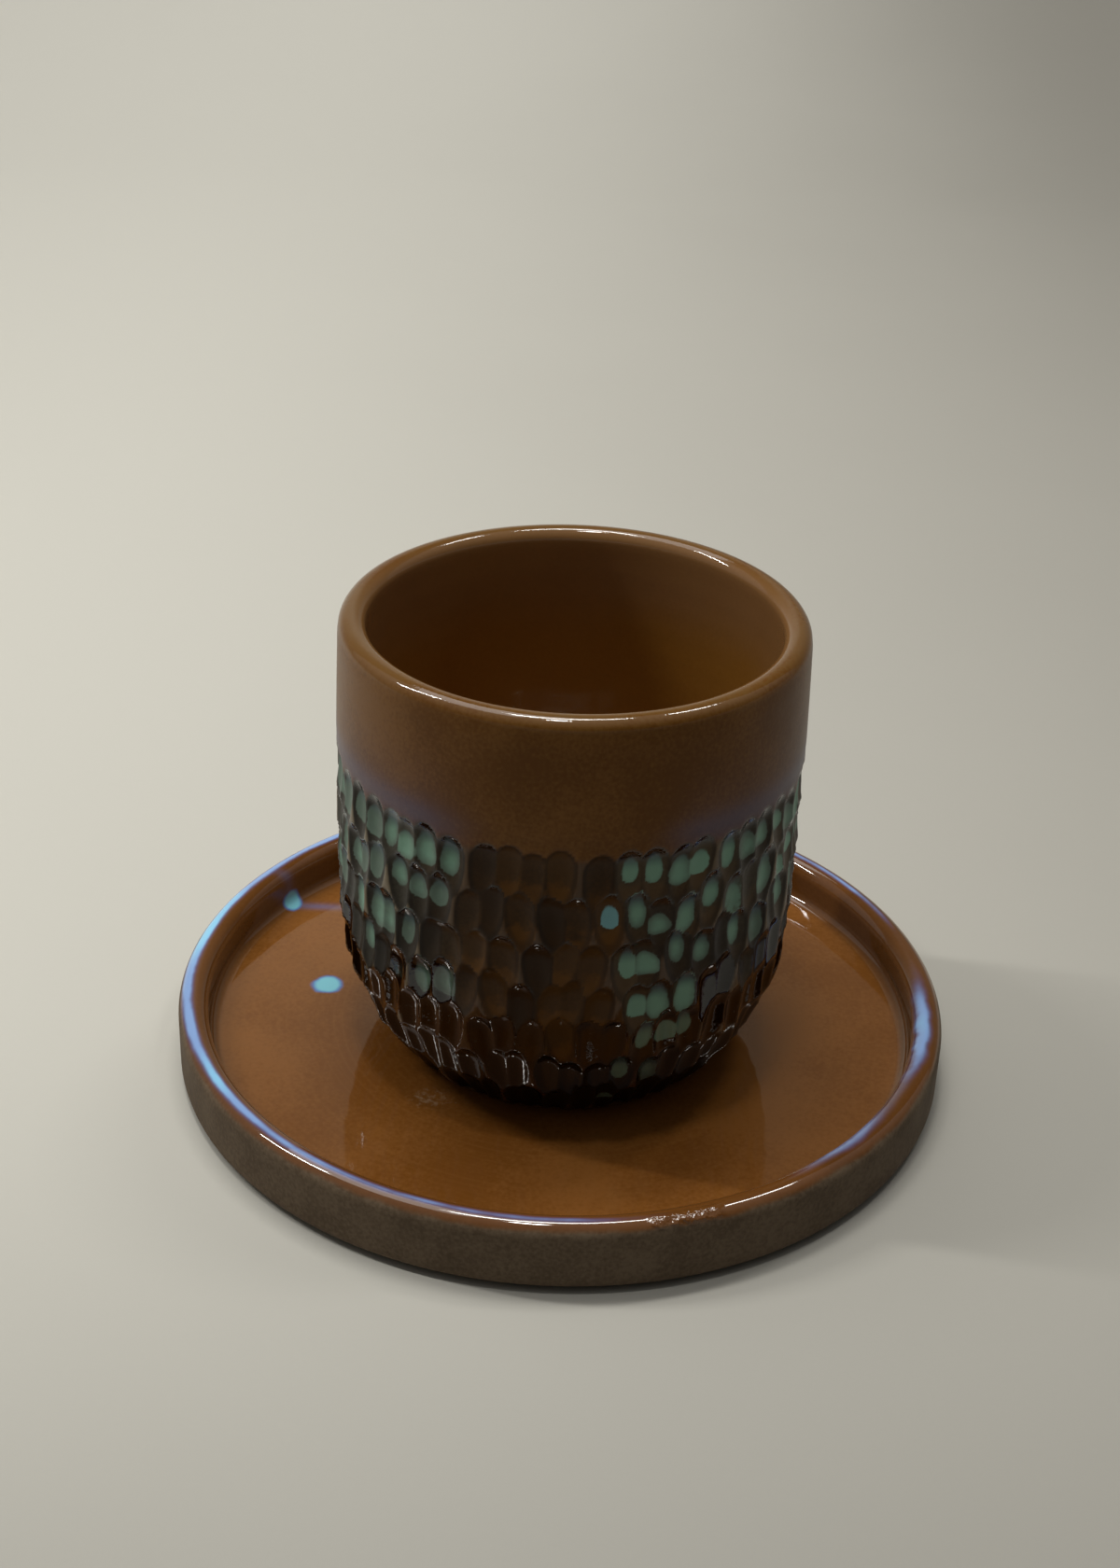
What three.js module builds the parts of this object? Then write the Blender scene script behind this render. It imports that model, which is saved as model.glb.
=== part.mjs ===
// A carved stoneware cortado cup standing on its saucer.
// Millimetres, +Z up, the table at Z = 0, the cup's axis on Z, the front of the cup towards -Y.
import * as THREE from 'three';

// Saucer
const SAUCER_RADIUS = 60;
const SAUCER_HEIGHT = 11.4;
const SAUCER_RIM_THICKNESS = 4.6;
const SAUCER_FLOOR_HEIGHT = 4.6;
const SAUCER_COVE_RADIUS = 1.8;
const SAUCER_BEVEL_HEIGHT = 1.3;
const SAUCER_BEVEL_WIDTH = 4;
const SAUCER_FOOT_WIDTH = 8;
const SAUCER_RECESS_DEPTH = 0.9;
const SAUCER_SEGMENTS = 96;

// Cup body
const CUP_HEIGHT = 70.8;
const CUP_BELLY_RADIUS = 35;
const CUP_RIM_RADIUS = 34.3;
const CUP_FOOT_RADIUS = 24.8;
const CUP_BOTTOM_HEIGHT = 30;
const CUP_BOTTOM_FULLNESS = 3;
const CUP_WALL_THICKNESS = 4;
const CUP_FLOOR_THICKNESS = 6;
const CUP_INNER_CORNER_RADIUS = 18;
const CUP_FOOT_WIDTH = 6;
const CUP_RECESS_DEPTH = 1.6;

// Carving: rows of gouge cuts below a plain band
const BAND_HEIGHT = 19.6;
const GOUGES_PER_ROW = 54;
const GOUGE_ROWS = 7;
const GOUGE_LENGTH = 10.6;
const GOUGE_ENTRY = 3.2;
const GOUGE_TOP_DEPTH = 0.85;
const GOUGE_BOTTOM_DEPTH = 1.5;
const GOUGE_WIDTH_SHARE = 1.24;
const GOUGE_SIDE_WANDER = 0.22;
const GOUGE_TOP_WANDER = 1.2;
const BAND_EDGE_WANDER = 0.4;
const CARVED_FOOT_MARGIN = 2;

const LIP_STEPS = 6;
const COVE_STEPS = 4;
const INNER_CORNER_STEPS = 6;
const SAUCER_RIM_STEPS = 8;

// Profile points along an arc, in radius and height, angles in degrees from the outward direction
function arc(centreRadius, centreHeight, arcRadius, startDegrees, endDegrees, steps) {
  const points = [];
  for (let step = 0; step <= steps; step += 1) {
    const turn = THREE.MathUtils.degToRad(THREE.MathUtils.lerp(startDegrees, endDegrees, step / steps));
    points.push([centreRadius + arcRadius * Math.cos(turn), centreHeight + arcRadius * Math.sin(turn)]);
  }
  return points;
}

// A closed solid of revolution about Z, with its first column of points at the front
function turned(profile, segments) {
  const geometry = new THREE.LatheGeometry(profile.map(([r, z]) => new THREE.Vector2(r, z)), segments);
  return geometry.rotateX(Math.PI / 2);
}

function makeSaucer() {
  const rimHalf = SAUCER_RIM_THICKNESS / 2;
  const footRadius = SAUCER_RADIUS - SAUCER_BEVEL_WIDTH;
  const recessRadius = footRadius - SAUCER_FOOT_WIDTH;
  const innerRadius = SAUCER_RADIUS - SAUCER_RIM_THICKNESS;
  const coveCentre = innerRadius - SAUCER_COVE_RADIUS;
  const profile = [
    [0, SAUCER_RECESS_DEPTH],
    [recessRadius, SAUCER_RECESS_DEPTH],
    [recessRadius, 0],
    [footRadius, 0],
    [SAUCER_RADIUS, SAUCER_BEVEL_HEIGHT],
    ...arc(SAUCER_RADIUS - rimHalf, SAUCER_HEIGHT - rimHalf, rimHalf, 0, 180, SAUCER_RIM_STEPS),
    ...arc(coveCentre, SAUCER_FLOOR_HEIGHT + SAUCER_COVE_RADIUS, SAUCER_COVE_RADIUS, 0, -90, COVE_STEPS),
    [0, SAUCER_FLOOR_HEIGHT],
  ];
  const glazedClay = new THREE.MeshStandardMaterial({ color: '#5d3818', roughness: 0.18, metalness: 0 });
  const saucer = new THREE.Mesh(turned(profile, SAUCER_SEGMENTS), glazedClay);
  saucer.name = 'saucer';
  return saucer;
}

// Outer radius of the uncarved cup at a height above its foot
function cupRadius(height) {
  const below = Math.max(0, 1 - height / CUP_BOTTOM_HEIGHT);
  const above = Math.max(0, (height - CUP_BOTTOM_HEIGHT) / (CUP_HEIGHT - CUP_BOTTOM_HEIGHT));
  const tuckIn = (CUP_BELLY_RADIUS - CUP_FOOT_RADIUS) * below ** CUP_BOTTOM_FULLNESS;
  const taper = (CUP_BELLY_RADIUS - CUP_RIM_RADIUS) * above ** 2;
  return CUP_BELLY_RADIUS - tuckIn - taper;
}

const CARVED_TOP = CUP_HEIGHT - BAND_HEIGHT;
const ROW_PITCH = (CARVED_TOP - CARVED_FOOT_MARGIN) / GOUGE_ROWS;
const GOUGE_ANGLE = (2 * Math.PI) / GOUGES_PER_ROW;

// Repeatable unevenness of the hand carving, between -1 and 1
function wander(gouge, row, seed) {
  const around = ((gouge % GOUGES_PER_ROW) + GOUGES_PER_ROW) % GOUGES_PER_ROW;
  const swing = 7.13 * Math.sin(2.4 * around + 4.1 * row + seed);
  return 2 * (swing - Math.floor(swing)) - 1;
}

// Where a cut lies: the angle of its middle line and the height of its top. Rows are staggered by half a cut.
function gougePlace(gouge, row) {
  const stagger = row % 2 === 0 ? 0 : 0.5;
  const angle = (gouge + stagger + GOUGE_SIDE_WANDER * wander(gouge, row, 0)) * GOUGE_ANGLE;
  const topWander = row === 0 ? BAND_EDGE_WANDER : GOUGE_TOP_WANDER;
  const top = CARVED_TOP - row * ROW_PITCH + topWander * wander(gouge, row, 1);
  return { angle, top };
}

// Depth of one cut: steep where the tool enters at the top, running out towards the bottom, round across.
// The lower rows are cut deeper, where the clay is thicker.
function cutDepth(gouge, row, angle, height) {
  const place = gougePlace(gouge, row);
  const down = place.top - height;
  const entering = down < GOUGE_ENTRY;
  const along = entering ? 1 - down / GOUGE_ENTRY : (down - GOUGE_ENTRY) / (GOUGE_LENGTH - GOUGE_ENTRY);
  const across = (angle - place.angle) / (0.5 * GOUGE_WIDTH_SHARE * GOUGE_ANGLE);
  const depth = THREE.MathUtils.lerp(GOUGE_TOP_DEPTH, GOUGE_BOTTOM_DEPTH, row / (GOUGE_ROWS - 1));
  return depth * (1 - along ** 2 - across ** 2);
}

// Depth of the carving: the deepest of the cuts around a point
function carvedDepth(angle, height) {
  const nearRow = Math.floor((CARVED_TOP - height) / ROW_PITCH);
  const nearGouge = Math.round(angle / GOUGE_ANGLE);
  let depth = 0;
  for (let row = Math.max(0, nearRow - 1); row <= Math.min(GOUGE_ROWS - 1, nearRow + 1); row += 1) {
    for (let gouge = nearGouge - 2; gouge <= nearGouge + 1; gouge += 1) {
      depth = Math.max(depth, cutDepth(gouge, row, angle, height));
    }
  }
  return depth;
}

// Rings of points across each row of cuts, as shares of the row's pitch below the cuts' tops
const RING_SHARES = [0.02, 0.28, 0.6];
// How far the sides of a cut's round top lie below its middle, as a share of the row's pitch
const TOP_ARCH_SHARE = 0.18;

// Where the point of a carved ring lies: on the middle line of a cut, or on the ridge between two cuts
function carvedPoint(column, row, share) {
  const stagger = row % 2;
  const onMiddle = (column + stagger) % 2 === 0;
  const gouge = Math.floor((column - stagger) / 2);
  const here = gougePlace(gouge, row);
  if (onMiddle) return { angle: here.angle, height: here.top - share * ROW_PITCH };
  const next = gougePlace(gouge + 1, row);
  const arch = TOP_ARCH_SHARE * (1 - share);
  return {
    angle: (here.angle + next.angle) / 2,
    height: (here.top + next.top) / 2 - (share + arch) * ROW_PITCH,
  };
}

function makeCup() {
  const lipHalf = CUP_WALL_THICKNESS / 2;
  const innerRadius = CUP_BELLY_RADIUS - CUP_WALL_THICKNESS;
  const cornerHeight = CUP_FLOOR_THICKNESS + CUP_INNER_CORNER_RADIUS;
  const recessRadius = CUP_FOOT_RADIUS - CUP_FOOT_WIDTH;
  const foot = [
    [0, CUP_RECESS_DEPTH],
    [recessRadius, CUP_RECESS_DEPTH],
    [recessRadius, 0],
    [CUP_FOOT_RADIUS, 0],
    [cupRadius(CARVED_FOOT_MARGIN / 2), CARVED_FOOT_MARGIN / 2],
  ];
  const rings = [];
  for (let row = GOUGE_ROWS - 1; row >= 0; row -= 1) {
    for (const share of [...RING_SHARES].reverse()) rings.push({ row, share });
  }
  const carved = rings.map(({ row, share }) => {
    const height = CARVED_TOP - (row + share) * ROW_PITCH;
    return [cupRadius(height), height];
  });
  const bandEdge = CARVED_TOP + 2 * BAND_EDGE_WANDER;
  const bandMiddle = CUP_HEIGHT - BAND_HEIGHT / 2;
  const top = [
    [cupRadius(bandEdge), bandEdge],
    [cupRadius(bandMiddle), bandMiddle],
    ...arc(CUP_RIM_RADIUS - lipHalf, CUP_HEIGHT - lipHalf, lipHalf, 0, 180, LIP_STEPS),
  ];
  const inside = [
    ...arc(innerRadius - CUP_INNER_CORNER_RADIUS, cornerHeight, CUP_INNER_CORNER_RADIUS, 0, -90, INNER_CORNER_STEPS),
    [0, CUP_FLOOR_THICKNESS],
  ];
  const profile = [...foot, ...carved, ...top, ...inside];
  const columns = 2 * GOUGES_PER_ROW;
  const geometry = turned(profile, columns);
  const position = geometry.getAttribute('position');
  for (let column = 0; column <= columns; column += 1) {
    rings.forEach(({ row, share }, ring) => {
      const { angle, height } = carvedPoint(column % columns, row, share);
      const radius = cupRadius(height) - carvedDepth(angle, height);
      const index = column * profile.length + foot.length + ring;
      position.setXYZ(index, radius * Math.sin(angle), -radius * Math.cos(angle), height);
    });
  }
  geometry.computeVertexNormals();
  const carvedGlaze = new THREE.MeshStandardMaterial({ color: '#4b2f16', roughness: 0.2, metalness: 0 });
  const cup = new THREE.Mesh(geometry, carvedGlaze);
  cup.name = 'cup';
  cup.position.z = SAUCER_FLOOR_HEIGHT;
  return cup;
}

const cupAndSaucer = new THREE.Group();
cupAndSaucer.add(makeSaucer(), makeCup());
export default cupAndSaucer;
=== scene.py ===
"""A carved stoneware cortado cup standing on its saucer, glazed in brown, blue and green."""

import math

import bpy
from mathutils import Matrix, Vector


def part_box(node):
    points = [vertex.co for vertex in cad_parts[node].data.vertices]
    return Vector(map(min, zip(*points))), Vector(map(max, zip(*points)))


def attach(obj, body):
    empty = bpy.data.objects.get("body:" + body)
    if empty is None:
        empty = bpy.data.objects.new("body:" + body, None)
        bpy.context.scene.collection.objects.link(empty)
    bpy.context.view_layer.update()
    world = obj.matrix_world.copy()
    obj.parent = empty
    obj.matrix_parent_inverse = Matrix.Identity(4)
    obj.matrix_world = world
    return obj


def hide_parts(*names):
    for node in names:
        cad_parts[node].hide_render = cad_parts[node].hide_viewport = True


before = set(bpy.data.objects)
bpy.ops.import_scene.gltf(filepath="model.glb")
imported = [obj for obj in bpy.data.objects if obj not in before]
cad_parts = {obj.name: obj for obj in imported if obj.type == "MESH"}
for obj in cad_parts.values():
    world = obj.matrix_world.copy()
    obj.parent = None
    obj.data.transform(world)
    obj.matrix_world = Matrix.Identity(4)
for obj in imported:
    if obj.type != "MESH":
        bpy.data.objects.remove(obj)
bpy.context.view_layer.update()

# Sizes of the solids, in metres
cup_low, cup_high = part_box("cup")
_, saucer_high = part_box("saucer")
CUP_SEAT = cup_low.z
CUP_HEIGHT = cup_high.z - cup_low.z
SAUCER_RADIUS = saucer_high.x
SAUCER_HEIGHT = saucer_high.z

# Cup
CUP_BELLY_RADIUS = 0.0350
CUP_RIM_RADIUS = 0.0343
CUP_FOOT_RADIUS = 0.0248
CUP_BOTTOM_HEIGHT = 0.030
CUP_BOTTOM_FULLNESS = 3.0
CUP_WALL_THICKNESS = 0.004
CUP_FLOOR_THICKNESS = 0.006
CUP_INNER_CORNER_RADIUS = 0.018
CUP_FOOT_WIDTH = 0.006
CUP_RECESS_DEPTH = 0.0016
CUP_FOOT_EDGE = 0.0005
CUP_COLUMNS = 540
CUP_RECESS_RINGS = 4
CUP_FOOT_EDGE_RINGS = 3
CUP_WALL_RINGS = 120
CUP_BAND_RINGS = 9
CUP_LIP_RINGS = 14
CUP_INSIDE_RINGS = 7
CUP_INNER_CORNER_RINGS = 14
CUP_INSIDE_FLOOR_RINGS = 3
WALL_START = 1.2 * CUP_FOOT_EDGE
WALL_OVERRUN = 0.0012
BAND_START = 0.0022
LIP_CLEARANCE = 0.0006
INSIDE_CLEARANCE = 0.001

# Carving on the cup
BAND_HEIGHT = 0.0196
CARVED_FOOT_MARGIN = 0.002
GOUGES_PER_ROW = 54
GOUGE_ROWS = 7
GOUGE_LENGTH = 0.0106
GOUGE_ENTRY = 0.0032
GOUGE_TOP_DEPTH = 0.00085
GOUGE_BOTTOM_DEPTH = 0.0015
GOUGE_WIDTH_SHARE = 1.24
GOUGE_SIDE_WANDER = 0.22
GOUGE_TOP_WANDER = 0.0012
BAND_EDGE_WANDER = 0.0004
GOUGE_DEPTH_WANDER = 0.15
GOUGE_LEAN = 0.32
RIDGE_ROUNDING = 0.00012
POOL_DROP = 0.0049
POOL_RISE = 0.0045
POOL_SAG = 0.0023
POOL_HALF_WIDTH = 0.84
CARVED_TOP = CUP_HEIGHT - BAND_HEIGHT
ROW_PITCH = (CARVED_TOP - CARVED_FOOT_MARGIN) / GOUGE_ROWS
DEEPER_PER_ROW = (GOUGE_BOTTOM_DEPTH - GOUGE_TOP_DEPTH) / (GOUGE_ROWS - 1)

# Repeatable unevenness of the cuts, the same rule as in the solid
SWING_PER_GOUGE = 2.4
SWING_PER_ROW = 4.1
SWING_REACH = 7.13
SIDE_SEED = 0
TOP_SEED = 1
LEAN_SEED = 2
FILL_SEED = 3
DARK_SEED = 4
POOL_SIZE_SEED = 5
POOL_WIDTH_SEED = 6
BEAD_SEED = 8
TINT_SEED = 9

# Zones of the glaze round the cup, in degrees from the front, positive to the right
BARE_FRONT = (-25, 12)
LONG_RUN = (12, 34)
RIGHT_EBB = (36, 64)
LEFT_SIDE = (-100, -25)
SEEN_SIDE = (-85, 85)
DARK_STARTS_LOW = (-22, 36)
STRAY_DROP = (6, 13)

# Saucer
SAUCER_RIM_THICKNESS = 0.0046
SAUCER_COVE_RADIUS = 0.0018
SAUCER_BEVEL_HEIGHT = 0.0013
SAUCER_BEVEL_WIDTH = 0.004
SAUCER_FOOT_WIDTH = 0.008
SAUCER_RECESS_DEPTH = 0.0009
SAUCER_COLUMNS = 360
SAUCER_RECESS_RINGS = 4
SAUCER_RECESS_WALL_RINGS = 2
SAUCER_FOOT_RINGS = 3
SAUCER_BEVEL_RINGS = 3
SAUCER_WALL_RINGS = 8
SAUCER_RIM_RINGS = 20
SAUCER_COVE_RINGS = 8
SAUCER_FLOOR_RINGS = 12
SAUCER_FLOOR_CLEARANCE = 0.002
SAUCER_CORNER = 0.0001

# Points closer than this are one point
MERGE_DISTANCE = 1e-6

# Camera, fitted to the outlines of both rims
CAMERA_PLACE = Vector((-0.00138, -0.29449, 0.21165))
CAMERA_PITCH = math.radians(29.23)
CAMERA_ROLL = math.radians(2.14)
CAMERA_LENS = 51.4


class Wire:
    """A value in a node tree. Arithmetic on it adds Math nodes."""

    def __init__(self, tree, socket):
        self.tree = tree
        self.socket = socket

    def __add__(self, other):
        return self.tree.math("ADD", self, other)

    def __radd__(self, other):
        return self.tree.math("ADD", other, self)

    def __sub__(self, other):
        return self.tree.math("SUBTRACT", self, other)

    def __rsub__(self, other):
        return self.tree.math("SUBTRACT", other, self)

    def __mul__(self, other):
        return self.tree.math("MULTIPLY", self, other)

    def __rmul__(self, other):
        return self.tree.math("MULTIPLY", other, self)

    def __truediv__(self, other):
        return self.tree.math("DIVIDE", self, other)

    def __gt__(self, other):
        return self.tree.math("GREATER_THAN", self, other)

    def __lt__(self, other):
        return self.tree.math("LESS_THAN", self, other)

    def other(self, name):
        """Another output of the same node."""
        return Wire(self.tree, self.socket.node.outputs[name])


class Tree:
    """A node tree that is written as expressions."""

    def __init__(self, node_tree):
        self.node_tree = node_tree

    def node(self, kind, settings=None, sockets=None, output=0):
        """Adds a node: its settings first, then the values or links of its sockets."""
        made = self.node_tree.nodes.new(kind)
        for name, value in (settings or {}).items():
            setattr(made, name, value)
        for key, value in (sockets or {}).items():
            self.feed(made.inputs[key], value)
        return Wire(self, made.outputs[output]) if made.outputs else made

    def feed(self, socket, value):
        if isinstance(value, Wire):
            self.node_tree.links.new(value.socket, socket)
        else:
            socket.default_value = value

    def math(self, operation, *values):
        return self.node("ShaderNodeMath", {"operation": operation}, dict(enumerate(values)))

    def vector_math(self, operation, *values):
        return self.node("ShaderNodeVectorMath", {"operation": operation}, dict(enumerate(values)))

    def rise(self, value, low, high):
        """0 below low, 1 above high, smooth between."""
        sockets = {"Value": value, "From Min": low, "From Max": high}
        return self.node("ShaderNodeMapRange", {"interpolation_type": "SMOOTHSTEP"}, sockets)

    def hump(self, value, centre, width):
        """1 at the centre, falling smoothly to both sides."""
        away = (value - centre) / width
        return self.math("EXPONENT", away * away * -1)

    def blend(self, first, second, share):
        """A colour between two colours."""
        return self.node("ShaderNodeMix", {"data_type": "RGBA"}, {0: share, 6: first, 7: second}, 2)

    def noise(self, vector, scale, detail=2.0, roughness=0.5):
        sockets = {"Vector": vector, "Scale": scale, "Detail": detail, "Roughness": roughness}
        return self.node("ShaderNodeTexNoise", {}, sockets)

    def join(self, x, y, z):
        return self.node("ShaderNodeCombineXYZ", {}, {"X": x, "Y": y, "Z": z})

    def split(self, vector):
        x = self.node("ShaderNodeSeparateXYZ", {}, {"Vector": vector})
        return x, x.other("Y"), x.other("Z")


class Recipe(Tree):
    """A Geometry Nodes tree with a named input for each of its sizes."""

    SOCKETS = {int: "NodeSocketInt", float: "NodeSocketFloat", bpy.types.Material: "NodeSocketMaterial"}

    def __init__(self, name, sizes):
        super().__init__(bpy.data.node_groups.new(name, "GeometryNodeTree"))
        self.sizes = sizes
        face = self.node_tree.interface
        face.new_socket("Geometry", in_out="INPUT", socket_type="NodeSocketGeometry")
        face.new_socket("Geometry", in_out="OUTPUT", socket_type="NodeSocketGeometry")
        for size, value in sizes.items():
            face.new_socket(size, in_out="INPUT", socket_type=self.SOCKETS[type(value)])
        self.given = self.node("NodeGroupInput")

    def size(self, name):
        return self.given.other(name)

    def finish(self, shape):
        """Realizes the shape, gives it its material and ends the tree."""
        shape = self.node("GeometryNodeSetShadeSmooth", {}, {0: shape})
        shape = self.node("GeometryNodeRealizeInstances", {}, {0: shape})
        shape = self.node("GeometryNodeSetMaterial", {}, {0: shape, "Material": self.size("Material")})
        end = self.node("NodeGroupOutput")
        self.feed(end.inputs[0], shape)

    def make(self, start):
        """Runs the tree on an object and gives back a plain mesh object in its place."""
        modifier = start.modifiers.new("recipe", "NODES")
        modifier.node_group = self.node_tree
        for item in self.node_tree.interface.items_tree:
            if item.in_out == "INPUT" and item.name in self.sizes:
                modifier[item.identifier] = self.sizes[item.name]
        depsgraph = bpy.context.evaluated_depsgraph_get()
        mesh = bpy.data.meshes.new_from_object(start.evaluated_get(depsgraph))
        name = start.name
        bpy.data.objects.remove(start)
        piece = bpy.data.objects.new(name, mesh)
        bpy.context.collection.objects.link(piece)
        return piece


def arc(centre_radius, centre_height, arc_radius, start, end, steps):
    """Profile points along an arc, in radius and height, angles in degrees from the outward direction."""
    turns = [math.radians(start + (end - start) * step / steps) for step in range(steps + 1)]
    return [
        (centre_radius + arc_radius * math.cos(turn), centre_height + arc_radius * math.sin(turn))
        for turn in turns
    ]


def line(start, end, steps):
    """Points from start up to, and without, end."""
    return [tuple(a + (b - a) * step / steps for a, b in zip(start, end)) for step in range(steps)]


def profile_object(name, points, **marks):
    """A row of points to turn about Z, with marks that say where along the profile a point lies."""
    mesh = bpy.data.meshes.new(name)
    edges = [(index, index + 1) for index in range(len(points) - 1)]
    mesh.from_pydata([(radius, 0, height) for radius, height in points], edges, [])
    for mark, values in marks.items():
        mesh.attributes.new(mark, "FLOAT", "POINT").data.foreach_set("value", values)
    profile = bpy.data.objects.new(name, mesh)
    bpy.context.collection.objects.link(profile)
    return profile


# The turned shapes

def turned(tree, columns):
    """A sheet with a row for each profile point and columns that go round, and the values at its points."""
    profile = tree.given
    rings = tree.node("GeometryNodeAttributeDomainSize", {"component": "MESH"}, {0: profile})
    sheet = tree.node("GeometryNodeMeshGrid", {}, {0: 1.0, 1: 1.0, 2: columns + 1, 3: rings})
    across, up, _ = tree.split(tree.node("GeometryNodeInputPosition"))
    row = tree.math("ROUND", (up + 0.5) * (rings - 1))

    def sample(value, kind):
        sockets = {0: profile, "Value": value, "Index": row}
        return tree.node("GeometryNodeSampleIndex", {"data_type": kind, "domain": "POINT"}, sockets)

    def mark(name):
        value = tree.node("GeometryNodeInputNamedAttribute", {"data_type": "FLOAT"}, {"Name": name})
        return sample(value, "FLOAT")

    radius, _, height = tree.split(sample(tree.node("GeometryNodeInputPosition"), "FLOAT_VECTOR"))
    # The last column takes the first one's angle, so both are carved alike and merge
    column = tree.math("FLOORED_MODULO", tree.math("ROUND", (across + 0.5) * columns), columns)
    angle = column / columns * math.tau
    return sheet, radius, height, angle, mark


def keep(tree, shape, name, value):
    """Stores a value on the shape's points for its material."""
    settings = {"data_type": "FLOAT", "domain": "POINT"}
    return tree.node("GeometryNodeStoreNamedAttribute", settings, {0: shape, "Name": name, "Value": value})


def round_up(tree, shape, radius, height, angle):
    """Bends the grid round Z, the first column at the front, and closes its seam and poles."""
    x = radius * tree.math("SINE", angle)
    y = radius * tree.math("COSINE", angle) * -1
    shape = tree.node("GeometryNodeSetPosition", {}, {0: shape, "Position": tree.join(x, y, height)})
    return tree.node("GeometryNodeMergeByDistance", {}, {0: shape, "Distance": MERGE_DISTANCE})


class Uneven:
    """Repeatable unevenness of one hand-carved cut: a value between -1 and 1 for each seed."""

    def __init__(self, tree, gouge, row):
        self.tree = tree
        around = tree.math("FLOORED_MODULO", gouge, GOUGES_PER_ROW)
        self.phase = around * SWING_PER_GOUGE + row * SWING_PER_ROW
        self.values = {}

    def __call__(self, seed):
        if seed not in self.values:
            swing = self.tree.math("SINE", self.phase + seed) * SWING_REACH
            self.values[seed] = self.tree.math("FRACT", swing) * 2 - 1
        return self.values[seed]


def between(tree, value, low, high, soft):
    """1 from low to high, with soft ends."""
    return tree.rise(value, low - soft, low + soft) * (1 - tree.rise(value, high - soft, high + soft))


def glaze_run(tree, degrees):
    """At an angle: how many rows hold green glaze, how bright it is, and the row where it turns dark."""
    bare_front = between(tree, degrees, *BARE_FRONT, 3)
    long_run = between(tree, degrees, *LONG_RUN, 3)
    right_ebb = between(tree, degrees, *RIGHT_EBB, 4)
    behind = tree.math("SINE", degrees * 0.09) * (1 - between(tree, degrees, *SEEN_SIDE, 8))
    run = 2.9 - bare_front * 4.3 + long_run * 3.0 - right_ebb * 1.3 + behind * 1.8
    bright = long_run * 0.5 - between(tree, degrees, *LEFT_SIDE, 6) * 0.8 - right_ebb * 0.4
    dark_row = 2.7 + between(tree, degrees, *DARK_STARTS_LOW, 6) * 1.1
    return run, bright, dark_row


def glaze_in_cut(tree, fall, aside, row, middle, uneven):
    """Masks of the glaze in one cut: green pool, dark top of thick glaze with painted shade, thick dark
    glaze, tint and fall.
    """
    degrees = (tree.math("FRACT", middle / GOUGES_PER_ROW + 0.5) - 0.5) * 360
    run, bright, dark_row = glaze_run(tree, degrees)
    stray = between(tree, degrees, *STRAY_DROP, 1) * (row > 0.5) * (row < 1.5)
    left = between(tree, degrees, *LEFT_SIDE, 6)
    size = (0.86 + uneven(POOL_SIZE_SEED) * 0.34 + left * 0.12) * (1 - stray * 0.4)
    width = (0.86 + uneven(POOL_WIDTH_SEED) * 0.24) * POOL_HALF_WIDTH * (1 - stray * 0.25)
    below = (fall - POOL_DROP - uneven(POOL_WIDTH_SEED) * 0.0008) / size
    along_pool = tree.math("MAXIMUM", below / POOL_SAG, below / -POOL_RISE)
    across_pool = (aside - uneven(BEAD_SEED) * 0.12) / width
    oval = 1 - along_pool * along_pool - across_pool * across_pool
    filled = tree.rise(run + uneven(FILL_SEED) * 1.2 - row, 0.1, 0.5)
    pool = tree.math("MAXIMUM", filled, stray) * tree.math("MAXIMUM", oval, 0.0)
    # The dark top of each cut: thick glaze gathered there, with painted shade under the cut's top edge
    strong_top = tree.math("MAXIMUM", tree.rise(uneven(BEAD_SEED), -0.6, 0.4), filled)
    dark_bead_and_shade = (1 - tree.rise(fall - filled * 0.0006, 0.0004, 0.0020)) * strong_top
    dark = tree.rise(row + uneven(DARK_SEED) * 0.6 - dark_row, -0.25, 0.25)
    tint = uneven(TINT_SEED) + bright + stray * 2
    return {
        "pool": pool,
        "dark_bead_and_shade": dark_bead_and_shade,
        "dark": dark,
        "tint": tint,
        "filled": filled,
        "fall": fall / ROW_PITCH,
    }


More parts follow.
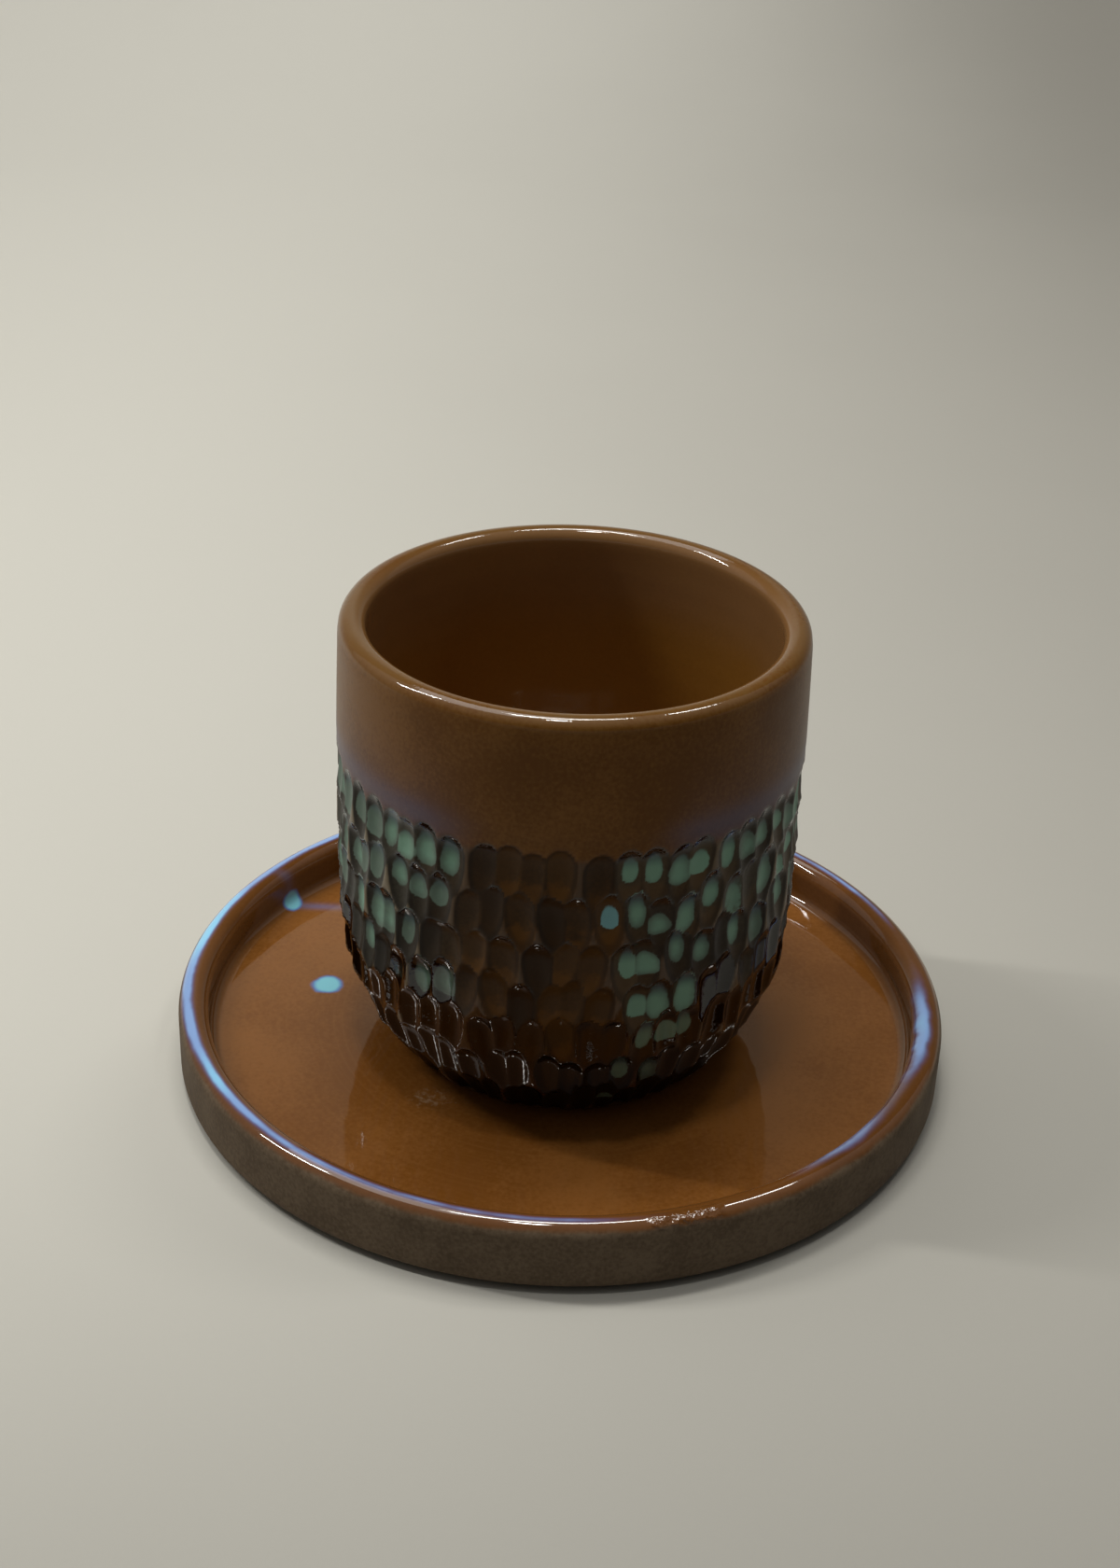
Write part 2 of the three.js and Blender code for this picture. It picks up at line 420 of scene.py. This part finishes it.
def carving(tree, angle, height):
    """Depth of the deepest cut at each point, and the glaze in that cut."""
    turn = angle * (GOUGES_PER_ROW / math.tau)
    entry = tree.size("Gouge Entry")
    length = tree.size("Gouge Length")
    near_row = tree.math("FLOOR", (tree.size("Carved Top") - height) / tree.size("Row Pitch"))
    depth = 0.0
    masks = dict.fromkeys(("pool", "dark_bead_and_shade", "dark", "tint", "filled", "fall", "bowl"), 0.0)
    for row_step in (-1, 0, 1):
        row = near_row + row_step
        in_rows = (row > -0.5) * (row < GOUGE_ROWS - 0.5)
        stagger = tree.math("FLOORED_MODULO", row, 2) * 0.5
        place = turn - stagger
        nearest = tree.math("ROUND", place)
        beside = nearest + (place > nearest) * 2 - 1
        top_line = tree.size("Carved Top") - row * tree.size("Row Pitch")
        top_wander = GOUGE_TOP_WANDER + (row < 0.5) * (BAND_EDGE_WANDER - GOUGE_TOP_WANDER)
        row_depth = tree.size("Top Depth") + row * DEEPER_PER_ROW
        for gouge in (nearest, beside):
            uneven = Uneven(tree, gouge, row)
            fall = top_line + uneven(TOP_SEED) * top_wander - height
            lean = uneven(LEAN_SEED) * GOUGE_LEAN * (fall / length - 0.3)
            middle = gouge + uneven(SIDE_SEED) * GOUGE_SIDE_WANDER + lean
            along = tree.math("MAXIMUM", 1 - fall / entry, (fall - entry) / (length - entry))
            aside = (place - middle) * (2 / GOUGE_WIDTH_SHARE)
            bowl = 1 - along * along - aside * aside
            cut = bowl * row_depth * (1 + uneven(LEAN_SEED) * GOUGE_DEPTH_WANDER) * in_rows
            wins = tree.math("GREATER_THAN", cut, depth)
            glaze = glaze_in_cut(tree, fall, aside, row, middle + stagger, uneven)
            for name, value in {**glaze, "bowl": bowl}.items():
                masks[name] = masks[name] + (value - masks[name]) * wins
            depth = tree.math("SMOOTH_MAX", depth, cut, RIDGE_ROUNDING)
    return depth, masks


def cup_radius(height):
    """Outer radius of the uncarved cup at a height above its foot."""
    below = max(0.0, 1 - height / CUP_BOTTOM_HEIGHT)
    above = max(0.0, (height - CUP_BOTTOM_HEIGHT) / (CUP_HEIGHT - CUP_BOTTOM_HEIGHT))
    tuck_in = (CUP_BELLY_RADIUS - CUP_FOOT_RADIUS) * below ** CUP_BOTTOM_FULLNESS
    taper = (CUP_BELLY_RADIUS - CUP_RIM_RADIUS) * above ** 2
    return CUP_BELLY_RADIUS - tuck_in - taper


def wall_points(low, high, steps):
    heights = [low + (high - low) * step / steps for step in range(steps + 1)]
    return [(cup_radius(height), height) for height in heights]


def make_cup(material):
    lip_half = CUP_WALL_THICKNESS / 2
    recess_radius = CUP_FOOT_RADIUS - CUP_FOOT_WIDTH
    inner_radius = CUP_BELLY_RADIUS - CUP_WALL_THICKNESS
    inner_rim = CUP_RIM_RADIUS - CUP_WALL_THICKNESS
    corner_height = CUP_FLOOR_THICKNESS + CUP_INNER_CORNER_RADIUS
    corner_centre = inner_radius - CUP_INNER_CORNER_RADIUS
    lip_height = CUP_HEIGHT - lip_half
    edge = CUP_FOOT_EDGE
    floor_edge = (corner_centre - INSIDE_CLEARANCE, CUP_FLOOR_THICKNESS)
    floor_middle = (0, CUP_FLOOR_THICKNESS)
    under = [
        *line((0, CUP_RECESS_DEPTH), (recess_radius, CUP_RECESS_DEPTH), CUP_RECESS_RINGS),
        (recess_radius, CUP_RECESS_DEPTH),
        *arc(recess_radius + edge, edge, edge, 180, 270, CUP_FOOT_EDGE_RINGS),
        *arc(CUP_FOOT_RADIUS - edge, edge, edge, 270, 330, CUP_FOOT_EDGE_RINGS),
    ]
    wall = wall_points(WALL_START, CARVED_TOP + WALL_OVERRUN, CUP_WALL_RINGS)
    band = wall_points(CARVED_TOP + BAND_START, lip_height - LIP_CLEARANCE, CUP_BAND_RINGS)
    lip = arc(CUP_RIM_RADIUS - lip_half, lip_height, lip_half, 0, 180, CUP_LIP_RINGS)
    inside = [
        *line((inner_rim, lip_height - INSIDE_CLEARANCE), (inner_radius, corner_height), CUP_INSIDE_RINGS),
        *arc(corner_centre, corner_height, CUP_INNER_CORNER_RADIUS, 0, -90, CUP_INNER_CORNER_RINGS),
        *line(floor_edge, floor_middle, CUP_INSIDE_FLOOR_RINGS),
        floor_middle,
    ]
    points = under + wall + band + lip + inside
    outside = len(under) + len(wall) + len(band)
    carved = [0.0] * len(under) + [1.0] * len(wall) + [0.0] * (len(points) - len(under) - len(wall))
    inner = [0.0] * outside + [step / (len(lip) - 1) for step in range(len(lip))] + [1.0] * len(inside)
    profile = profile_object("cup_wall", points, carved=carved, inner=inner)
    tree = Recipe("turned and carved cup", {
        "Columns": CUP_COLUMNS,
        "Seat Height": CUP_SEAT,
        "Carved Top": CARVED_TOP,
        "Row Pitch": ROW_PITCH,
        "Gouge Length": GOUGE_LENGTH,
        "Gouge Entry": GOUGE_ENTRY,
        "Top Depth": GOUGE_TOP_DEPTH,
        "Material": material,
    })
    sheet, radius, height, angle, mark = turned(tree, tree.size("Columns"))
    depth, masks = carving(tree, angle, height)
    on_wall = mark("carved")
    sheet = keep(tree, sheet, "inner", mark("inner"))
    below_edge = tree.rise(tree.size("Carved Top") - height, 0.0008, 0.0022)
    carved = tree.math("MAXIMUM", tree.rise(depth, 0.00002, 0.00020), below_edge)
    sheet = keep(tree, sheet, "cut", carved * on_wall)
    for name, value in masks.items():
        sheet = keep(tree, sheet, name, value * on_wall)
    radius = radius - depth * on_wall
    shape = round_up(tree, sheet, radius, height + tree.size("Seat Height"), angle)
    tree.finish(shape)
    return tree.make(profile)


def make_saucer(material):
    rim_half = SAUCER_RIM_THICKNESS / 2
    floor_height = CUP_SEAT
    foot_radius = SAUCER_RADIUS - SAUCER_BEVEL_WIDTH
    recess_radius = foot_radius - SAUCER_FOOT_WIDTH
    inner_radius = SAUCER_RADIUS - SAUCER_RIM_THICKNESS
    cove_centre = inner_radius - SAUCER_COVE_RADIUS
    cove_height = floor_height + SAUCER_COVE_RADIUS
    shoulder = SAUCER_HEIGHT - rim_half
    bevel_end = (SAUCER_RADIUS - 3 * SAUCER_CORNER, SAUCER_BEVEL_HEIGHT - 2 * SAUCER_CORNER)
    wall_start = (SAUCER_RADIUS, SAUCER_BEVEL_HEIGHT + 5 * SAUCER_CORNER)
    points = [
        *line((0, SAUCER_RECESS_DEPTH), (recess_radius, SAUCER_RECESS_DEPTH), SAUCER_RECESS_RINGS),
        *line((recess_radius, SAUCER_RECESS_DEPTH), (recess_radius, 0), SAUCER_RECESS_WALL_RINGS),
        *line((recess_radius, 0), (foot_radius, 0), SAUCER_FOOT_RINGS),
        *line((foot_radius, 0), bevel_end, SAUCER_BEVEL_RINGS),
        (SAUCER_RADIUS - SAUCER_CORNER, SAUCER_BEVEL_HEIGHT + SAUCER_CORNER),
        *line(wall_start, (SAUCER_RADIUS, shoulder), SAUCER_WALL_RINGS),
        *arc(SAUCER_RADIUS - rim_half, shoulder, rim_half, 0, 180, SAUCER_RIM_RINGS),
        *arc(cove_centre, cove_height, SAUCER_COVE_RADIUS, 0, -90, SAUCER_COVE_RINGS),
        *line((cove_centre - SAUCER_FLOOR_CLEARANCE, floor_height), (0, floor_height), SAUCER_FLOOR_RINGS),
        (0, floor_height),
    ]
    profile = profile_object("saucer_dish", points)
    tree = Recipe("turned saucer", {"Columns": SAUCER_COLUMNS, "Material": material})
    sheet, radius, height, angle, _ = turned(tree, tree.size("Columns"))
    tree.finish(round_up(tree, sheet, radius, height, angle))
    return tree.make(profile)


# Finishes

# What is the same all over a satin glaze, a glossy one, and the wet-looking one of the saucer and the lip
SATIN = {"IOR": 1.5, "Specular IOR Level": 0.16}
GLOSS = {"IOR": 1.6}
WET = {"IOR": 1.64}


def paint(code):
    """A linear colour from a screen colour code."""
    parts = [int(code[index:index + 2], 16) / 255 for index in (1, 3, 5)]
    linear = [part / 12.92 if part <= 0.04045 else ((part + 0.055) / 1.055) ** 2.4 for part in parts]
    return (*linear, 1.0)


def new_material(name):
    material = bpy.data.materials.new(name)
    material.use_nodes = True
    material.node_tree.nodes.clear()
    return material, Tree(material.node_tree)


def surface(tree, colour, roughness, normal, **fixed):
    """A Principled surface: what varies is linked, what is the same all over is set on its socket."""
    sockets = {"Base Color": colour, "Roughness": roughness, "Normal": normal, **fixed}
    return tree.node("ShaderNodeBsdfPrincipled", {}, sockets)


def finish_material(tree, shader):
    tree.node("ShaderNodeOutputMaterial", {}, {"Surface": shader})


def mixed(tree, first, second, share):
    """One surface passing into another."""
    return tree.node("ShaderNodeMixShader", {}, {0: share, 1: first, 2: second})


def mark_on(tree, name):
    return tree.node("ShaderNodeAttribute", {"attribute_name": name}, {}, "Fac")


def cup_glaze():
    material, tree = new_material("carved cup glaze")
    place = tree.node("ShaderNodeTexCoord", output="Object")
    x, y, z = tree.split(place)
    height = z - CUP_SEAT
    degrees = tree.math("ARCTAN2", x, y * -1) * (180 / math.pi)
    # How much to the side a point lies, less on the right: it sets the painted sheen on the carved sides
    sides = tree.rise(tree.math("ABSOLUTE", degrees), 18, 46) * (1 - tree.rise(x, 0.0, 0.02) * 0.25)
    inner = mark_on(tree, "inner")
    cut = mark_on(tree, "cut")
    dark = mark_on(tree, "dark") * cut
    cloud = tree.noise(place, 55, 4)
    fleck = tree.noise(place, 420, 3, 0.6)
    grain = tree.noise(place, 1800, 2)
    mottle = cloud + (grain - 0.5) * 0.55

    brown = tree.blend(paint("#633d11"), paint("#785022"), tree.rise(mottle, 0.3, 0.7))
    colour = tree.blend(brown, paint("#5c5c76"), band_haze(tree, x, height, cloud) * (1 - inner))
    colour = tree.blend(colour, carved_colour(tree, mottle, fleck, dark, sides), cut)
    inside = tree.blend(paint("#825720"), paint("#91662c"), mottle)
    # Painted sheen: a pale lilac-grey reflection painted in near the top of the inside
    milky_sheen_share = tree.rise(height + (cloud - 0.5) * 0.012, CUP_HEIGHT - 0.020, CUP_HEIGHT - 0.006)
    inside = tree.blend(inside, paint("#7d6455"), milky_sheen_share * 0.35)
    colour = tree.blend(colour, inside, tree.rise(inner, 0.5, 0.9))
    lip = tree.hump(inner, 0.45, 0.33) * tree.rise(height, CUP_HEIGHT - 0.003, CUP_HEIGHT - 0.001)
    colour = tree.blend(colour, paint("#694a24"), lip * tree.rise(mottle, 0.2, 0.6))

    rings = tree.math("SINE", height * 1500) * inner * 0.1
    dark_bead_and_shade = mark_on(tree, "dark_bead_and_shade") * cut
    relief = grain * 0.3 + cloud + rings + fleck * dark * 0.6 + dark_bead_and_shade * (0.5 + fleck)
    bump = tree.node("ShaderNodeBump", {}, {"Strength": 0.12, "Distance": 0.0004, "Height": relief})
    satin = surface(tree, colour, 0.36 + (fleck - 0.5) * 0.08, bump, **SATIN)
    gloss = surface(tree, colour, 0.05 + (fleck - 0.5) * 0.03, bump, **GLOSS)
    near_lip = inner * (0.4 + tree.rise(height, CUP_HEIGHT - 0.012, CUP_HEIGHT - 0.004) * 0.6)
    ridge = (1 - tree.rise(mark_on(tree, "bowl"), 0.0, 0.15)) * cut
    wet = tree.math("MAXIMUM", dark, tree.math("MAXIMUM", dark_bead_and_shade, ridge * 0.35))
    glossy = tree.math("MAXIMUM", wet, near_lip)
    shader = mixed(tree, satin, gloss, glossy)
    crest = surface(tree, colour, 0.05 + tree.rise(fleck, 0.55, 0.75) * 0.1, bump, **WET)
    finish_material(tree, mixed(tree, shader, crest, lip))
    return material


def band_haze(tree, x, height, cloud):
    """Blue haze where the band's glaze thickens at its lower edge, on both sides of the cup."""
    side = tree.math("ABSOLUTE", x) + (cloud - 0.5) * 0.012
    sides = tree.rise(side, 0.009, 0.020)
    thick = tree.hump(height, CARVED_TOP + 0.0010, 0.0026)
    faint = tree.hump(height, CARVED_TOP + 0.0040, 0.0060)
    return sides * (thick * 0.5 + faint * 0.1)


def carved_colour(tree, mottle, fleck, dark, sides):
    """Brown cuts with dark tops of glaze and painted shade, ochre ends, a painted pale sheen on the sides,
    green pools, and thick dark glaze below.
    """
    pool = mark_on(tree, "pool")
    tint = mark_on(tree, "tint")
    filled = mark_on(tree, "filled")
    fall = mark_on(tree, "fall")
    bowl = mark_on(tree, "bowl")
    ridge = 1 - tree.rise(bowl, 0.02, 0.22)
    wall = tree.blend(paint("#331f08"), paint("#4d3210"), tree.rise(tint * 0.5 + mottle, 0.1, 1.0))
    ochre = tree.rise(fall + (fleck - 0.5) * 0.9, 0.75, 1.0) * tree.rise(tint, -0.6, 0.4)
    wall = tree.blend(wall, paint("#6b430e"), ochre * 0.5)
    # Pale cuts: painted sheen on the sides, and cloudy glaze where the cuts are filled
    milky_sheen_colour = tree.blend(paint("#25231c"), paint("#4c4d42"), tree.rise(tint * 0.4 + mottle, 0.0, 1.0))
    milky_sheen_share = tree.math("MAXIMUM", sides * 0.8, filled * 0.4)
    wall = tree.blend(wall, milky_sheen_colour, milky_sheen_share)
    # Darker on each cut's walls just inside the ridges: painted shade, with some thicker glaze
    groove = tree.rise(bowl, 0.0, 0.15) * (1 - tree.rise(bowl, 0.3, 0.6))
    wall = tree.blend(wall, paint("#120905"), groove * 0.45)
    # Lighter ridges: the glaze breaks thin over them, and on the sides a paler painted highlight
    ridge_break_and_highlight = tree.blend(paint("#5a3b1a"), paint("#83745c"), sides)
    wall = tree.blend(wall, ridge_break_and_highlight, ridge * (0.4 + sides * 0.3))
    # Painted shade and thick dark glaze at the top of each cut
    wall = tree.blend(wall, paint("#0d0504"), mark_on(tree, "dark_bead_and_shade") * 0.95)
    thick = tree.blend(paint("#0d0402"), paint("#38180a"), ridge * 0.8)
    wall = tree.blend(wall, thick, dark)

    ragged = pool + (fleck - 0.5) * 0.8 * tree.rise(pool, 0.0, 0.2)
    low = tree.rise(fall, 0.2, 0.6)
    deep = tree.blend(paint("#5f7265"), paint("#80a892"), tree.rise(ragged + tint * 0.5, 0.0, 1.1))
    green = tree.blend(paint("#485a60"), deep, low)
    green = tree.blend(green, paint("#7cb2bd"), tree.rise(tint, 1.6, 1.8) * 0.8)
    return tree.blend(wall, green, tree.rise(ragged, 0.05, 0.7 - low * 0.42) * (1 - dark * 0.4))


def spot(tree, place, centre, size, ragged):
    """A round spot of glaze on the saucer, with a ragged edge."""
    away = tree.vector_math("DISTANCE", place, centre).other("Value") / size
    return 1 - tree.rise(away + (ragged - 0.5) * 0.5, 0.45, 1.15)


def rim_blue(tree, radius, degrees, cloud, edge):
    """Strength of the floating blue on the rim: wide and bright on the left, a thin line in front."""
    left = tree.hump(degrees, -95, 40)
    centre = SAUCER_RADIUS - 0.0022 + left * 0.0008 + (cloud - 0.5) * 0.001
    drips = between(tree, degrees, 35, 100, 8)
    width = 0.0006 + left * 0.0004 + drips * 0.0006
    across = tree.hump((radius - centre + edge * drips * 0.002) / width, 0.0, 1.0)
    front = between(tree, degrees, -66, 10, 14) * 0.38
    right = tree.hump(degrees, 80, 13) * 0.8 + tree.hump(degrees, 48, 10) * 0.5
    behind = (1 - between(tree, degrees, -128, 112, 10)) * 0.5
    around = left * 0.85 + front + right + behind
    return across * around * (0.5 + edge)


def saucer_glaze():
    material, tree = new_material("saucer glaze and bare clay")
    place = tree.node("ShaderNodeTexCoord", output="Object")
    x, y, z = tree.split(place)
    radius = tree.math("SQRT", x * x + y * y)
    degrees = tree.math("ARCTAN2", x, y * -1) * (180 / math.pi)
    cloud = tree.noise(place, 45, 4)
    fleck = tree.noise(place, 350, 3, 0.6)
    grain = tree.noise(place, 1600, 2)
    edge = tree.noise(place, 160, 3)

    mottle = cloud + (grain - 0.5) * 0.45
    brown = tree.blend(paint("#704419"), paint("#825326"), tree.rise(mottle, 0.3, 0.7))
    throwing = tree.noise(tree.join(radius * 1600, 0.0, 0.0), 1.0, 3)
    colour = tree.blend(brown, paint("#85582b"), tree.rise(throwing, 0.45, 0.75) * 0.3)

    # Painted shade on the inner wall of the rim, which is darker
    near_rim = tree.rise(radius, SAUCER_RADIUS - 0.0068, SAUCER_RADIUS - 0.0052)
    inner_wall_shade = near_rim * (1 - tree.rise(z, 0.0085, 0.0105))
    colour = tree.blend(colour, paint("#46290f"), inner_wall_shade * 0.55)
    crest = tree.rise(z, SAUCER_HEIGHT - 0.0022, SAUCER_HEIGHT - 0.0008)
    colour = tree.blend(colour, paint("#553213"), crest * 0.6)

    # Floating blue on the rim's crest, brightest in two places on the left
    float_blue = rim_blue(tree, radius, degrees, cloud, edge) * tree.rise(z, 0.0078, 0.0095)
    bright = tree.hump(degrees, -103, 13) + tree.hump(degrees, -61, 7) + tree.hump(degrees, 82, 6) * 0.5
    blue = tree.blend(paint("#5d609c"), paint("#8cacdf"), tree.rise(float_blue, 0.15, 0.65))
    blue = tree.blend(blue, paint("#92d3f6"), tree.rise(float_blue * bright, 0.15, 0.8))
    colour = tree.blend(colour, blue, tree.rise(float_blue, 0.05, 0.6))

    # Turquoise spots that dripped on the floor and in the inner corner, each in a haze of blue
    ragged = edge + (fleck - 0.5) * 0.8
    spots = spot(tree, place, (-0.0378, 0.0062, CUP_SEAT), 0.0026, ragged)
    spots = spots + spot(tree, place, (-0.0467, 0.0296, CUP_SEAT + 0.0008), 0.0023, ragged)
    streak = tree.hump(x, -0.0425, 0.006) * tree.hump(y, 0.0294, 0.0010) * 0.35
    spot_middle = tree.rise(spots + (fleck - 0.5) * 0.5, 0.3, 0.95)
    turquoise = tree.blend(paint("#5a7bb6"), paint("#7ec4d2"), spot_middle)
    colour = tree.blend(colour, turquoise, tree.math("MAXIMUM", tree.rise(spots, 0.0, 0.55), streak))

    # Scuffs where the cup has been set down in front
    scuffed = tree.hump(x, -0.019, 0.007) * tree.hump(y, -0.023, 0.006)
    scuff = tree.rise(tree.noise(place, 900, 4, 0.7) * scuffed, 0.4, 0.75) * tree.rise(edge, 0.35, 0.6)
    colour = tree.blend(colour, paint("#b39a7c"), scuff * 0.6)

    # Bare clay outside, below the glaze line on the shoulder
    glaze_line = SAUCER_HEIGHT - 0.0009 + (edge - 0.5) * 0.0008
    outside = tree.rise(radius, SAUCER_RADIUS - 0.0022, SAUCER_RADIUS - 0.0012)
    clay = outside * (1 - tree.rise(z - glaze_line, -0.0004, 0.0004))
    clay = tree.math("MAXIMUM", clay, 1 - tree.rise(z, SAUCER_BEVEL_HEIGHT, SAUCER_BEVEL_HEIGHT + 0.0005))
    bare = tree.blend(paint("#544535"), paint("#6b5b49"), tree.rise(grain * 0.6 + edge * 0.5, 0.35, 0.75))
    colour = tree.blend(colour, bare, clay)

    # Lumps of glaze on the front right of the rim
    on_crest = between(tree, radius, SAUCER_RADIUS - 0.0022, SAUCER_RADIUS - 0.0004, 0.0004)
    high = tree.rise(z, SAUCER_HEIGHT - 0.002, SAUCER_HEIGHT - 0.001)
    lumps = between(tree, degrees, 13, 23, 1) * on_crest * high
    fine = grain * (0.002 + clay * 0.04) + throwing * (1 - clay) * 0.004 + cloud * 0.05
    relief = fine + tree.noise(place, 900, 2) * lumps * 0.5
    bump = tree.node("ShaderNodeBump", {}, {"Strength": 1.0, "Distance": 0.001, "Height": relief})
    glaze = surface(tree, colour, 0.05 + tree.rise(fleck, 0.6, 0.8) * 0.05, bump, **WET)
    matte = surface(tree, colour, 0.7 + (grain - 0.5) * 0.2, bump, **SATIN)
    finish_material(tree, mixed(tree, glaze, matte, clay))
    return material


def floor_finish():
    material, tree = new_material("pale floor")
    place = tree.node("ShaderNodeTexCoord", output="Object")
    x, y, _ = tree.split(place)
    cloud = tree.noise(place, 6, 3)
    # Painted light falloff: the floor is paler on the left and darker to the right
    across = tree.rise(x + (cloud - 0.5) * 0.04, -0.16, 0.24)
    colour = tree.blend(paint("#cbc9c0"), paint("#9a978f"), across)
    # Painted shade: a dark band on the floor in front of the object
    painted_front_shade = (1 - tree.rise(y, -0.34, 0.02)) * tree.rise(y, -0.75, -0.4)
    # Painted light: the back of the floor and the sweep are painted paler
    painted_back_light = tree.rise(y, 0.25, 0.85) * (1 - across)
    colour = tree.blend(colour, paint("#6a6861"), painted_front_shade)
    colour = tree.blend(colour, paint("#dcdad1"), painted_back_light)
    grain = tree.noise(place, 900, 2)
    bump = tree.node("ShaderNodeBump", {}, {"Strength": 0.05, "Distance": 0.0005, "Height": grain})
    finish_material(tree, surface(tree, colour, 0.85 + (cloud - 0.5) * 0.1, bump, IOR=1.4))
    return material


# Stage

def make_floor():
    """A floor that sweeps up behind the object."""
    reach, bend_start, bend_radius, steps = 1.5, 0.55, 0.5, 16
    outline = [(-reach, 0.0), (0.0, 0.0), (bend_start, 0.0)]
    for step in range(1, steps + 1):
        turn = math.pi / 2 * step / steps
        outline.append((bend_start + bend_radius * math.sin(turn), bend_radius * (1 - math.cos(turn))))
    outline.append((bend_start + bend_radius, 2.0))
    corners = [(side * reach, y, z) for y, z in outline for side in (-1, 1)]
    faces = [(2 * i, 2 * i + 1, 2 * i + 3, 2 * i + 2) for i in range(len(outline) - 1)]
    mesh = bpy.data.meshes.new("floor")
    mesh.from_pydata(corners, [], faces)
    mesh.shade_smooth()
    mesh.materials.append(floor_finish())
    floor = bpy.data.objects.new("floor", mesh)
    bpy.context.collection.objects.link(floor)


def add_softbox(name, place, aim, width, depth, watts, tint, turn=0):
    lamp = bpy.data.lights.new(name, "AREA")
    lamp.shape = "RECTANGLE"
    lamp.size = width
    lamp.size_y = depth
    lamp.energy = watts
    lamp.color = tint
    softbox = bpy.data.objects.new(name, lamp)
    facing = (Vector(aim) - Vector(place)).to_track_quat("-Z", "Y").to_matrix().to_4x4()
    softbox.matrix_world = Matrix.Translation(place) @ facing @ Matrix.Rotation(math.radians(turn), 4, "Z")
    bpy.context.collection.objects.link(softbox)


def light_stage():
    warm = (1.0, 0.985, 0.95)
    add_softbox("lamp_left", (-0.60, 0.10, 0.70), (0, 0, 0.03), 0.025, 0.30, 2.2, warm)
    add_softbox("lamp_front", (-0.06, -0.12, 1.05), (0, 0, 0.03), 0.10, 0.06, 1.4, warm)
    add_softbox("soft_top", (-0.35, 0.25, 1.1), (0, 0, 0.03), 0.70, 0.60, 2.8, warm)
    add_softbox("ceiling_strip", (-0.02, 0.16, 1.0), (-0.02, 0.16, 0), 0.42, 0.08, 2.9, warm, 20)
    add_softbox("ceiling_strip_end", (0.42, 0.30, 1.0), (0.42, 0.30, 0), 0.22, 0.08, 1.5, warm, 20)
    world = bpy.data.worlds.new("studio air")
    world.use_nodes = True
    tree = Tree(world.node_tree)
    air = world.node_tree.nodes["Background"]
    x, y, z = tree.split(tree.node("ShaderNodeTexCoord", output="Generated"))
    lit_side = tree.rise(z + y * 0.7 - x * 0.3, -0.3, 1.0)
    horizon = tree.hump(z, 0.03, 0.14) * 0.75
    lit = tree.math("MAXIMUM", lit_side, horizon)
    tree.feed(air.inputs["Color"], tree.blend((0.03, 0.03, 0.03, 1), (0.97, 0.96, 0.93, 1), lit))
    air.inputs["Strength"].default_value = 0.32
    bpy.context.scene.world = world


def add_camera():
    lens = bpy.data.cameras.new("camera")
    lens.sensor_width = 36
    lens.lens = CAMERA_LENS
    lens.clip_start = 0.01
    camera = bpy.data.objects.new("camera", lens)
    pitch = Matrix.Rotation(math.pi / 2 - CAMERA_PITCH, 4, "X")
    roll = Matrix.Rotation(CAMERA_ROLL, 4, "Z")
    camera.matrix_world = Matrix.Translation(CAMERA_PLACE) @ pitch @ roll
    bpy.context.collection.objects.link(camera)
    bpy.context.scene.camera = camera


def dress(piece, body, node):
    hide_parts(node)
    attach(piece, body)


bpy.context.scene.view_settings.view_transform = "Standard"
add_camera()
light_stage()
make_floor()
dress(make_cup(cup_glaze()), "cup", "cup")
dress(make_saucer(saucer_glaze()), "saucer", "saucer")
